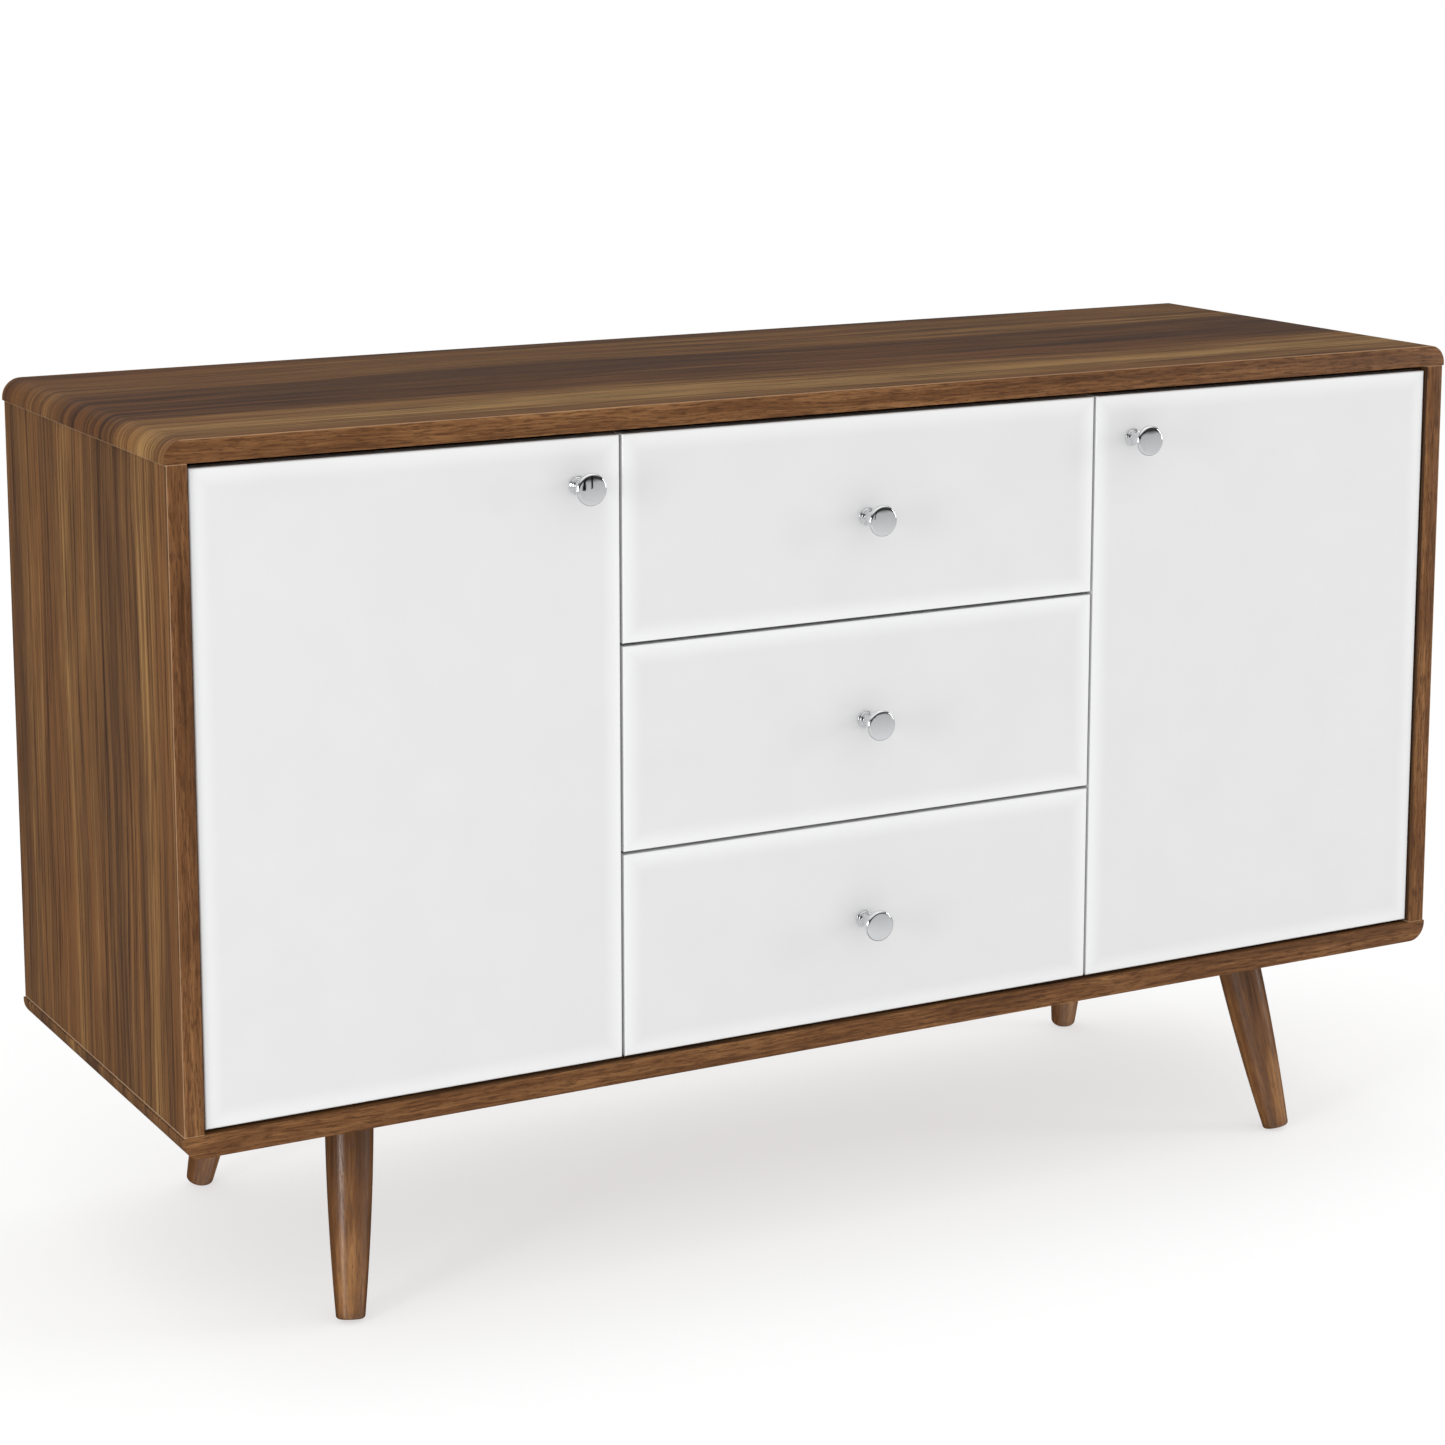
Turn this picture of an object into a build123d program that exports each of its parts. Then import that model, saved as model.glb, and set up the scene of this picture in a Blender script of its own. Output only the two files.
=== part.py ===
"""A sideboard on four splayed legs, with a door at each end and three drawers between them.

All sizes are millimetres. +Z is up and the fronts face -Y. The origin is on the floor,
under the middle of the whole object, knobs included.
"""
import math
import os

from build123d import *

# ---- Case ----
case_width = 1194.0           # end to end of the top and bottom boards
case_depth = 394.0            # front edge to back edge of the boards
case_height = 548.0           # underside of the bottom board to the top
leg_height = 165.0            # floor to the underside of the bottom board
board_thick = 18.0            # top and bottom boards
board_end_radius = 16.0       # rounding of the boards' outer end edges
edge_ease = 0.6               # slight rounding of the boards' long front and back edges
side_thick = 16.0
side_setback = 1.8            # side panels stand this far inside the boards' ends
divider_thick = 16.0
divider_spacing = 447.2       # centre to centre of the two dividers
back_thick = 3.2
back_setback = 10.0           # back panels stand this far inside the case's back edge
groove_depth = 6.0
groove_clearance = 0.4        # groove width beyond the panel that sits in it
groove_end_clearance = 0.5    # groove depth beyond the panel's edge

# ---- Fronts ----
front_thick = 16.0
front_inset = 2.5             # fronts stand this far behind the case's front edge
front_edge_radius = 1.4
front_side_gap = 2.0          # door to side panel
front_gap = 2.6               # front to front
front_top_gap = 4.2
front_bottom_gap = 2.8
front_back_gap = 1.5          # back of the fronts to the dividers' front edges
drawer_names = ("bottom", "middle", "top")

# ---- Knobs ----
knob_projection = 28.0        # front face to the knob's outer face
knob_disc_radius = 13.0
knob_disc_thick = 6.0
knob_disc_round = 2.4
knob_rim_flat = 0.4            # least straight rim left between the disc's two rounds
knob_neck_radius = 4.8
knob_base_radius = 7.5
knob_base_thick = 1.6
knob_step_radius = 6.2
knob_step_thick = 3.0         # base and step together
knob_from_door_top = 37.0
knob_from_door_edge = 37.0
knob_thread_depth = 10.0
knob_screw_end_gap = 1.0
screw_radius = 1.95           # M4 machine screw
screw_hole_radius = 2.1
screw_head_radius = 4.0
screw_head_thick = 2.5

# ---- Shelves ----
shelf_thick = 16.0
shelf_front_setback = 30.0    # behind the back of the doors
shelf_end_gap = 1.0
shelf_back_gap = 2.0
pin_radius = 2.5
pin_hole_clearance = 0.05
pin_in_panel = 9.0
pin_in_bay = 8.0
pin_collar_radius = 3.8
pin_collar_thick = 0.8
pin_hole_depth = 10.0
pin_row_pitch = 32.0
pin_rows = (-1, 0, 1)         # rows below, at and above the one in use
pin_from_shelf_edge = 45.0

# ---- Panel joints ----
cam_radius = 7.5
cam_thick = 12.3
cam_bore_clearance = 0.1
cam_bore_depth = 12.6
cam_from_panel_end = 24.0
cam_slot_radius = 3.8
cam_cross_length = 6.0         # screwdriver cross in the cam's face
cam_cross_width = 1.2
cam_cross_depth = 0.6
bolt_thread_radius = 3.4
bolt_in_board = 11.0
bolt_shank_radius = 2.5
bolt_head_radius = 3.3
bolt_head_length = 3.0
bolt_hole_radius = 3.6
dowel_radius = 4.0
dowel_in_board = 11.0
dowel_in_panel = 18.0
dowel_end_clearance = 0.7
dowel_end_bevel = 1.0
joint_from_edge = 52.0        # cam to the panel's front or back edge
dowel_from_cam = 32.0

# ---- Legs ----
leg_in_x = 163.0              # leg axis at the case's underside, from the board's end
leg_in_y = 69.0               # and from the board's front or back edge
leg_run_x = 20.0              # how far the axis runs outwards down to the floor
leg_run_y = 44.0
leg_top_radius = 19.4
leg_foot_radius = 11.4
leg_bulge = 1.6               # rise of the leg's curved side above a straight taper
leg_foot_round = 3.0
leg_top_round = 0.8
foot_flat_depth = 0.5         # how much the inner rim is levelled where it stands
plate_size = 64.0
plate_thick = 2.5
plate_corner_radius = 6.0
plate_boss_radius = 18.0
plate_boss_gap = 0.5          # plate's lower face to the leg's highest rim
plate_screw_spacing = 50.0
plate_screw_radius = 2.0
plate_screw_head_radius = 3.9
plate_screw_head_thick = 2.2
plate_screw_in_board = 12.5
hanger_radius = 3.95          # M8 hanger bolt
hanger_hole_radius = 4.0
hanger_in_leg = 38.0
hanger_end_gap = 1.0
pilot_clearance = 0.05

# ---- Door hinges: one pin in a cup, and an arm that reaches round the door's edge ----
hinge_from_door_end = 85.0
hinge_pin_x = 20.0            # pin axis to the side panel's inner face
hinge_pin_y = 7.0             # pin axis behind the door's front face
hinge_pin_radius = 1.25
hinge_pin_fit = 0.05
hinge_eye_radius = 3.0
hinge_arm_thick = 3.0
hinge_arm_width = 12.0
hinge_arm_angle = 33.0        # how the arm leaves the pin, from the door's plane
hinge_arm_reach = 26.0
hinge_arm_lean = 2.0
hinge_arm_bend = 4.0
hinge_swing_clearance = 1.2
cup_radius = 17.4
cup_bore_clearance = 0.1
cup_wall = 1.0
cup_floor = 0.6
cup_bore_depth = 13.0
cup_from_door_edge = 22.5
cup_flange_thick = 1.0
cup_flange_length = 62.0
cup_flange_width = 22.0
cup_flange_corner = 5.0
cup_screw_spacing = 48.0
hinge_plate_thick = 2.5
hinge_plate_width = 18.0
hinge_plate_lead = 5.0        # plate in front of the arm's root
hinge_plate_length = 52.0
hinge_screw_offsets = (14.0, 41.0)
hinge_screw_radius = 1.75
hinge_screw_head_radius = 3.3
hinge_screw_head_thick = 1.6
hinge_screw_in_wood = 10.0

# ---- Drawers and their ball slides ----
drawer_side_thick = 12.0
drawer_side_height = 115.0
drawer_length = 355.0         # back of the front to the back of the box
drawer_rise = 16.0            # bottom edge of the front to the bottom edge of the box
drawer_bottom_thick = 3.2
drawer_bottom_rise = 10.0
drawer_groove_depth = 5.0
slide_thick = 12.7            # divider to drawer side
slide_length = 350.0
slide_setback = 3.0           # behind the back of the front
slide_rise = 48.0             # bottom edge of the box to the slide's centre
rail_height = 45.0
steel_thick = 1.2
rail_lip_gap = 1.0            # rail flange to drawer side
member_height = 34.6
member_depth = 8.1
ball_radius = 1.7
ball_hole_radius = 1.9
ball_from_drawer = 5.6
ball_count = 5
ball_pitch = 17.0
cage_thick = 0.6
cage_length = 85.0
cage_web_gap = 1.2            # cage web to rail web
cage_lip = 1.0                # cage flange beyond its ball holes
cage_setback = 132.0          # behind the front of the rail, with the drawer shut

# ---- Places worked out from the sizes ----
knob_reach = knob_projection - front_inset
case_front = knob_reach - (case_depth + knob_reach) / 2
case_back = case_front + case_depth
case_under = leg_height
case_top = case_under + case_height
floor_z = case_under + board_thick
ceiling_z = case_top - board_thick
side_inner = case_width / 2 - side_setback - side_thick
divider_centre = divider_spacing / 2
divider_drawer_face = divider_centre - divider_thick / 2
divider_door_face = divider_centre + divider_thick / 2
front_face = case_front + front_inset
front_back = front_face + front_thick
divider_front = front_back + front_back_gap
fronts_low = floor_z + front_bottom_gap
fronts_high = ceiling_z - front_top_gap
drawer_front_height = (fronts_high - fronts_low + front_gap) / len(drawer_names) - front_gap
drawer_front_half = divider_centre - front_gap / 2
groove_back = case_back - back_setback
groove_front = groove_back - back_thick - groove_clearance
shelf_front = front_back + shelf_front_setback
shelf_back = groove_front - shelf_back_gap
shelf_low = (floor_z + ceiling_z - shelf_thick) / 2
pin_z = shelf_low - pin_radius
pin_columns = (shelf_front + pin_from_shelf_edge, shelf_back - pin_from_shelf_edge)
joint_columns = (divider_front + joint_from_edge, groove_front - joint_from_edge)
box_half = divider_drawer_face - slide_thick
box_back = front_back + drawer_length
slide_front = front_back + slide_setback
slide_y = (slide_front, slide_front + slide_length)

# ---- Door and hinge places at the left end ----
door_edge = -side_inner + front_side_gap
door_knob_x = -drawer_front_half - front_gap - knob_from_door_edge
door_knob_z = fronts_high - knob_from_door_top
cup_x = door_edge + cup_from_door_edge
hinge_x = -side_inner + hinge_pin_x
hinge_y = front_face + hinge_pin_y
hinge_heights = (fronts_low + hinge_from_door_end, fronts_high - hinge_from_door_end)
cup_screw_x = cup_x + cup_flange_width / 4
swing_radius = math.hypot(hinge_pin_x - front_side_gap, front_thick - hinge_pin_y)
arm_root_y = hinge_y + swing_radius + hinge_swing_clearance + hinge_arm_thick / 2


# ---- Helpers ----
def block(x, y, z):
    """A block between pairs of planes, each pair given as (low, high)."""
    centre = [(low + high) / 2 for low, high in (x, y, z)]
    size = [high - low for low, high in (x, y, z)]
    return Pos(*centre) * Box(*size)


def rod(start, direction, radius, length):
    """A round rod from a point along a direction."""
    return extrude(Plane(origin=start, z_dir=direction) * Circle(radius), length)


def mirrored(pieces):
    """The same pieces on the other end of the case."""
    return [mirror(piece, about=Plane.YZ) for piece in pieces]


def save(node, *pieces):
    """Write one node's solids."""
    solids = [solid for piece in pieces for solid in piece.solids()]
    export_step(Compound(label=node, children=solids), f"parts/{node}.step")


def round_front_edges(piece, radius):
    """Round the edges of the face that looks to -Y."""
    return fillet(piece.faces().sort_by(Axis.Y)[0].edges(), radius)


def screw(head_point, direction, radius, length, head_radius, head_thick):
    """A pan-head screw: the shank runs along the direction and the head stands the other way."""
    shank = rod(head_point, direction, radius, length)
    back = [-step for step in direction]
    head = rod(head_point, back, head_radius, head_thick)
    outer_edge = head.edges().filter_by(GeomType.CIRCLE).sort_by(Axis(head_point, back))[-1]
    head = fillet(outer_edge, head_thick / 2)
    point_edge = shank.edges().filter_by(GeomType.CIRCLE).sort_by(Axis(head_point, direction))[-1]
    return chamfer(point_edge, radius / 2) + head


# ---- Panel joints: a cam in the panel, a bolt in the board, and a dowel beside them ----
def panel_joint_places():
    """Each joint as (panel centre x, bore face direction in x, y, panel end z, direction into the board)."""
    for side in (-1, 1):
        panels = ((side * (side_inner + side_thick / 2), -side, side_thick),
                  (side * divider_centre, side, divider_thick))
        for centre, facing, thick in panels:
            for column in joint_columns:
                for end_z, outwards in ((floor_z, -1), (ceiling_z, 1)):
                    yield centre, facing, thick, column, end_z, outwards


def dowel_column(column):
    """A dowel stands on the inner side of its cam."""
    middle = sum(joint_columns) / 2
    return column + math.copysign(dowel_from_cam, middle - column)


def panel_joint(centre, facing, thick, column, end_z, outwards):
    """The cam, bolt and dowel of one joint, and what is cut for them from the panel and the board."""
    face = centre + facing * thick / 2
    cam_z = end_z - outwards * cam_from_panel_end
    into = (-facing, 0, 0)
    up = (0, 0, outwards)
    cam = rod((face, column, cam_z), into, cam_radius, cam_thick)
    cam -= rod((centre, column, cam_z - outwards * cam_slot_radius), up, cam_slot_radius, cam_radius * 2)
    cross = Box(2 * cam_cross_depth, cam_cross_length, cam_cross_width)
    cross += Box(2 * cam_cross_depth, cam_cross_width, cam_cross_length)
    cam -= Pos(face, column, cam_z) * cross
    bolt = rod((centre, column, end_z), up, bolt_thread_radius, bolt_in_board)
    bolt += rod((centre, column, cam_z), up, bolt_shank_radius, cam_from_panel_end)
    bolt += rod((centre, column, cam_z), up, bolt_head_radius, bolt_head_length)
    beside = dowel_column(column)
    dowel_end = (centre, beside, end_z - outwards * dowel_in_panel)
    dowel = rod(dowel_end, up, dowel_radius, dowel_in_panel + dowel_in_board)
    dowel = chamfer(dowel.edges().filter_by(GeomType.CIRCLE), dowel_end_bevel)
    bore = rod((face, column, cam_z), into, cam_radius + cam_bore_clearance, cam_bore_depth)
    bolt_hole = rod((centre, column, cam_z), up, bolt_hole_radius, cam_from_panel_end)
    panel_depth = dowel_in_panel + dowel_end_clearance
    panel_dowel_hole = rod((centre, beside, end_z), (0, 0, -outwards), dowel_radius, panel_depth)
    bolt_depth = bolt_in_board + dowel_end_clearance
    board_bolt_hole = rod((centre, column, end_z), up, bolt_thread_radius, bolt_depth)
    dowel_depth = dowel_in_board + dowel_end_clearance
    board_dowel_hole = rod((centre, beside, end_z), up, dowel_radius, dowel_depth)
    return (cam, bolt, dowel), [bore, bolt_hole, panel_dowel_hole], [board_bolt_hole, board_dowel_hole]


# ---- Case panels ----
def board(low, high, outer_end, holes):
    """The top or bottom board, its outer end edges rounded and its back-panel groove cut."""
    slab = block((-case_width / 2, case_width / 2), (case_front, case_back), (low, high))
    end_edges = slab.edges().filter_by(Axis.Y).group_by(Axis.Z)[outer_end]
    slab = fillet(end_edges, min(board_end_radius, board_thick - 2 * edge_ease))
    slab = round_front_edges(slab, edge_ease)
    inner_z = low if outer_end == -1 else high
    reach = side_inner + groove_depth
    groove_height = (inner_z - groove_depth, inner_z + groove_depth)
    slab -= block((-reach, reach), (groove_front, groove_back), groove_height)
    return slab - holes


def side_panel(side, holes):
    """One end panel of the case."""
    inner = side * side_inner
    outer = side * (side_inner + side_thick)
    panel = block(sorted((inner, outer)), (case_front, case_back), (floor_z, ceiling_z))
    panel = fillet(panel.faces().sort_by(Axis.Y)[0].edges().filter_by(Axis.Z), edge_ease)
    groove = sorted((inner - side, inner + side * groove_depth))
    panel -= block(groove, (groove_front, groove_back), (floor_z, ceiling_z))
    return panel - holes


def divider(side, holes):
    """One upright between the drawers and a door bay."""
    faces = sorted((side * divider_drawer_face, side * divider_door_face))
    panel = block(faces, (divider_front, case_back), (floor_z, ceiling_z))
    web = divider_thick / 2 - groove_depth
    for low, high in ((faces[0], side * divider_centre - web), (side * divider_centre + web, faces[1])):
        panel -= block((low, high), (groove_front, groove_back), (floor_z, ceiling_z))
    return panel - holes


def back_panels():
    """Three thin panels, one for each bay, held in the grooves."""
    reach = groove_depth - groove_end_clearance
    depth = (groove_front + groove_clearance / 2, groove_back - groove_clearance / 2)
    height = (floor_z - reach, ceiling_z + reach)
    centre = block((-divider_drawer_face - reach, divider_drawer_face + reach), depth, height)
    right = block((divider_door_face - reach, side_inner + reach), depth, height)
    return [centre, right] + mirrored([right])


def shelf():
    """The left bay's shelf."""
    width = (-side_inner + shelf_end_gap, -divider_door_face - shelf_end_gap)
    plain = block(width, (shelf_front, shelf_back), (shelf_low, shelf_low + shelf_thick))
    return round_front_edges(plain, edge_ease)


def shelf_pin_places():
    """The left bay's pin rows as (x of the face, direction into the bay, y)."""
    for face, inwards in ((-side_inner, 1), (-divider_door_face, -1)):
        for column in pin_columns:
            yield face, inwards, column


def shelf_pins():
    """The four pins under the left shelf."""
    pins = []
    for face, inwards, column in shelf_pin_places():
        pin_end = (face - inwards * pin_in_panel, column, pin_z)
        pin = rod(pin_end, (inwards, 0, 0), pin_radius, pin_in_panel + pin_in_bay)
        pin += rod((face, column, pin_z), (inwards, 0, 0), pin_collar_radius, pin_collar_thick)
        pins.append(pin)
    return pins


def shelf_pin_holes(wanted_face):
    """The adjustment holes in one face of the left bay."""
    radius = pin_radius + pin_hole_clearance
    return [rod((face, column, pin_z + row * pin_row_pitch), (-inwards, 0, 0), radius, pin_hole_depth)
            for face, inwards, column in shelf_pin_places() if face == wanted_face
            for row in pin_rows]


# ---- Legs ----
class LegPlace:
    """Where one leg stands, and the direction its axis takes down to the floor."""

    def __init__(self, side, front):
        """side is -1 or 1 in x, and front is -1 or 1 in y."""
        edge = case_front if front < 0 else case_back
        self.root = Vector(side * (case_width / 2 - leg_in_x), edge - front * leg_in_y, case_under)
        run = Vector(side * leg_run_x, front * leg_run_y, -leg_height)
        self.down = run.normalized()
        self.splay = math.acos(-self.down.Z)
        rim_drop = leg_top_radius * math.tan(self.splay)
        self.top_gap = (plate_thick + plate_boss_gap) / math.cos(self.splay) + rim_drop
        self.top = self.root + self.down * self.top_gap
        inner_rim = (leg_foot_radius - leg_foot_round) * math.sin(self.splay) + leg_foot_round
        to_rim_centre = (self.top.Z + foot_flat_depth - inner_rim) / math.cos(self.splay)
        self.length = to_rim_centre + leg_foot_round
        self.plane = Plane(origin=self.top, z_dir=self.down)


def leg(place):
    """One leg: a curved taper, square across its ends, with the inner rim levelled to stand on."""
    middle = ((leg_top_radius + leg_foot_radius) / 2 + leg_bulge, place.length / 2)
    side = ThreePointArc((leg_top_radius, 0), middle, (leg_foot_radius, place.length))
    outline = side + Polyline((leg_foot_radius, place.length), (0, place.length), (0, 0), (leg_top_radius, 0))
    turned = revolve(Plane.XZ * make_face(outline), Axis.Z)
    rims = turned.edges().filter_by(GeomType.CIRCLE).sort_by(Axis.Z)
    turned = fillet(rims[-1], leg_foot_round)
    turned = fillet(turned.edges().filter_by(GeomType.CIRCLE).sort_by(Axis.Z)[0], leg_top_round)
    turned -= rod((0, 0, 0), (0, 0, 1), hanger_hole_radius, hanger_in_leg + hanger_end_gap)
    stood = place.plane.location * turned
    below = leg_foot_radius * 3
    foot = place.top + place.down * place.length
    return stood - block((foot.X - below, foot.X + below), (foot.Y - below, foot.Y + below), (-below, 0))


def leg_plate(place):
    """A steel plate with a boss that tilts the leg."""
    half = plate_size / 2
    under = case_under - plate_thick
    x, y = place.root.X, place.root.Y
    plate = block((x - half, x + half), (y - half, y + half), (under, case_under))
    plate = fillet(plate.edges().filter_by(Axis.Z), plate_corner_radius)
    boss = rod(place.top, -place.down, plate_boss_radius, place.top_gap * 2)
    above = (under + plate_thick / 2, case_under + plate_size)
    boss -= block((x - plate_size, x + plate_size), (y - plate_size, y + plate_size), above)
    plate += boss
    hole_radius = plate_screw_radius + pilot_clearance
    for hole_x, hole_y in plate_screw_places(place):
        plate -= rod((hole_x, hole_y, case_under), (0, 0, -1), hole_radius, plate_thick)
    return plate - rod(place.top, -place.down, hanger_hole_radius, place.top_gap * 2)


def plate_screw_places(place):
    """The four screws of a leg plate."""
    half = plate_screw_spacing / 2
    return [(place.root.X + dx, place.root.Y + dy) for dx in (-half, half) for dy in (-half, half)]


def plate_screws(place):
    """The screws that hold one leg plate to the bottom board."""
    under = case_under - plate_thick
    return [screw((x, y, under), (0, 0, 1), plate_screw_radius, plate_thick + plate_screw_in_board,
                  plate_screw_head_radius, plate_screw_head_thick)
            for x, y in plate_screw_places(place)]


def hanger_bolt(place):
    """The bolt along a leg's axis, from its plate into the wood."""
    above = place.top_gap - hanger_radius * math.tan(place.splay) - hanger_end_gap
    return rod(place.top - place.down * above, place.down, hanger_radius, above + hanger_in_leg)


# ---- Knobs ----
def knob(x, z):
    """A turned knob on a front, with a threaded blind hole in its base."""
    rim_in = knob_projection - knob_disc_thick
    outline = Polyline(
        (0, 0), (knob_base_radius, 0),
        (knob_base_radius, -knob_base_thick), (knob_step_radius, -knob_base_thick),
        (knob_step_radius, -knob_step_thick), (knob_neck_radius, -knob_step_thick),
        (knob_neck_radius, -rim_in), (knob_disc_radius, -rim_in),
        (knob_disc_radius, -knob_projection), (0, -knob_projection), close=True)
    turned = revolve(make_face(outline), Axis.Y)
    least = (knob_base_radius + knob_disc_radius) / 2
    rims = [edge for edge in turned.edges().filter_by(GeomType.CIRCLE) if edge.radius > least]
    turned = fillet(rims, min(knob_disc_round, (knob_disc_thick - knob_rim_flat) / 2))
    turned -= rod((0, 0, 0), (0, -1, 0), screw_radius, knob_thread_depth)
    return Pos(x, front_face, z) * turned


def knob_screw(x, z):
    """The screw from inside that holds a knob."""
    length = front_thick + knob_thread_depth - knob_screw_end_gap
    return screw((x, front_back, z), (0, -1, 0), screw_radius, length, screw_head_radius, screw_head_thick)


def knob_hole(x, z):
    """The hole for a knob's screw through a front."""
    return rod((x, front_back, z), (0, -1, 0), screw_hole_radius, front_thick)


# ---- Doors and hinges, all for the left end ----
def hinge_arm(z):
    """A plate on the side panel, and an arm that goes round the door's edge to the pin."""
    angle = math.radians(hinge_arm_angle)
    out = (hinge_x + hinge_arm_reach * math.cos(angle), hinge_y + hinge_arm_reach * math.sin(angle))
    corner = (out[0] + hinge_arm_lean, arm_root_y)
    root = (-side_inner + hinge_plate_thick / 2, arm_root_y)
    path = FilletPolyline((hinge_x, hinge_y), out, corner, root, radius=hinge_arm_bend)
    level = Plane.XY.offset(z - hinge_arm_width / 2)
    arm = extrude(level * trace(path, line_width=hinge_arm_thick), hinge_arm_width)
    arm += rod((hinge_x, hinge_y, z - hinge_arm_width / 2), (0, 0, 1), hinge_eye_radius, hinge_arm_width)
    plate_front = arm_root_y - hinge_plate_lead
    plate_x = (-side_inner, -side_inner + hinge_plate_thick)
    plate_y = (plate_front, plate_front + hinge_plate_length)
    plate = block(plate_x, plate_y, (z - hinge_plate_width / 2, z + hinge_plate_width / 2))
    arm += fillet(plate.edges().filter_by(Axis.X), hinge_plate_width / 4)
    for x, y in hinge_screw_places():
        arm -= rod((x, y, z), (-1, 0, 0), hinge_screw_radius + pilot_clearance, hinge_plate_thick)
    bore_end = (hinge_x, hinge_y, z - hinge_arm_width)
    return arm - rod(bore_end, (0, 0, 1), hinge_pin_radius + hinge_pin_fit, hinge_arm_width * 2)


def hinge_screw_places():
    """The screws of one hinge plate, at the plate's inner face."""
    plate_front = arm_root_y - hinge_plate_lead
    return [(-side_inner + hinge_plate_thick, plate_front + offset) for offset in hinge_screw_offsets]


def hinge_screws(z):
    """The screws that hold one hinge plate to the side panel."""
    return [screw((x, y, z), (-1, 0, 0), hinge_screw_radius, hinge_plate_thick + hinge_screw_in_wood,
                  hinge_screw_head_radius, hinge_screw_head_thick)
            for x, y in hinge_screw_places()]


def hinge_screw_holes(z):
    """Pilot holes in the side panel."""
    return [rod((-side_inner, y, z), (-1, 0, 0), hinge_screw_radius + pilot_clearance, hinge_screw_in_wood)
            for _, y in hinge_screw_places()]


def hinge_cup(z):
    """The pressed cup that sits in the door's bore, with its screw flange on the door's back."""
    depth = cup_bore_depth - cup_bore_clearance
    shell = rod((cup_x, front_back, z), (0, -1, 0), cup_radius, depth)
    half_width = cup_flange_width / 2
    half_length = cup_flange_length / 2
    flange_y = (front_back, front_back + cup_flange_thick)
    flange = block((cup_x - half_width, cup_x + half_width), flange_y, (z - half_length, z + half_length))
    flange = fillet(flange.edges().filter_by(Axis.Y), cup_flange_corner)
    shell += flange + rod((cup_x, front_back, z), (0, 1, 0), cup_radius + cup_wall, cup_flange_thick)
    cavity_start = (cup_x, front_back + cup_flange_thick, z)
    shell -= rod(cavity_start, (0, -1, 0), cup_radius - cup_wall, depth + cup_flange_thick - cup_floor)
    hole_radius = hinge_screw_radius + pilot_clearance
    for side in (-1, 1):
        hole_z = z + side * cup_screw_spacing / 2
        shell -= rod((cup_screw_x, front_back, hole_z), (0, 1, 0), hole_radius, cup_flange_thick)
    return shell - hinge_pin(z)


def hinge_pin(z):
    """The pin across the cup."""
    half = math.sqrt(cup_radius ** 2 - (cup_x - hinge_x + hinge_pin_radius) ** 2) - hinge_pin_fit
    return rod((hinge_x, hinge_y, z - half), (0, 0, 1), hinge_pin_radius, 2 * half)


def cup_screws(z):
    """The two screws of one cup."""
    return [screw((cup_screw_x, front_back + cup_flange_thick, z + side * cup_screw_spacing / 2), (0, -1, 0),
                  hinge_screw_radius, cup_flange_thick + hinge_screw_in_wood,
                  hinge_screw_head_radius, hinge_screw_head_thick)
            for side in (-1, 1)]


def door_panel():
    """The left door, bored for its knob and hinge cups."""
    width = (door_edge, -drawer_front_half - front_gap)
    panel = block(width, (front_face, front_back), (fronts_low, fronts_high))
    panel = round_front_edges(panel, front_edge_radius)
    panel -= knob_hole(door_knob_x, door_knob_z)
    hole_radius = hinge_screw_radius + pilot_clearance
    for z in hinge_heights:
        panel -= rod((cup_x, front_back, z), (0, -1, 0), cup_radius + cup_bore_clearance, cup_bore_depth)
        for side in (-1, 1):
            hole_z = z + side * cup_screw_spacing / 2
            panel -= rod((cup_screw_x, front_back, hole_z), (0, -1, 0), hole_radius, hinge_screw_in_wood)
    return panel


# ---- Drawers ----
def drawer_front(low, knob_z):
    """A drawer's front, grooved behind for the drawer bottom."""
    width = (-drawer_front_half, drawer_front_half)
    panel = block(width, (front_face, front_back), (low, low + drawer_front_height))
    panel = round_front_edges(panel, front_edge_radius)
    panel -= bottom_groove(low, (front_back - drawer_groove_depth, front_back))
    return panel - knob_hole(0, knob_z)


def bottom_groove(low, y):
    """The cut that holds the drawer bottom, over the given stretch of y."""
    reach = box_half - drawer_side_thick + drawer_groove_depth
    groove_low = low + drawer_rise + drawer_bottom_rise
    return block((-reach, reach), y, (groove_low, groove_low + drawer_bottom_thick + groove_clearance))


def drawer_sides(low):
    """The two sides of a drawer box."""
    height = (low + drawer_rise, low + drawer_rise + drawer_side_height)
    left = block((-box_half, -box_half + drawer_side_thick), (front_back, box_back), height)
    left -= bottom_groove(low, (front_back, box_back))
    return [left] + mirrored([left])


def drawer_back(low):
    """The back of a drawer box, between its sides."""
    half = box_half - drawer_side_thick
    height = (low + drawer_rise, low + drawer_rise + drawer_side_height)
    panel = block((-half, half), (box_back - drawer_side_thick, box_back), height)
    groove_end = box_back - drawer_side_thick + drawer_groove_depth
    return panel - bottom_groove(low, (box_back - drawer_side_thick, groove_end))


def drawer_bottom(low):
    """The thin bottom, held in grooves all round."""
    reach = drawer_groove_depth - groove_end_clearance
    half = box_half - drawer_side_thick + reach
    lift = low + drawer_rise + drawer_bottom_rise + groove_clearance / 2
    depth = (front_back - reach, box_back - drawer_side_thick + reach)
    return block((-half, half), depth, (lift, lift + drawer_bottom_thick))


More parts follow.
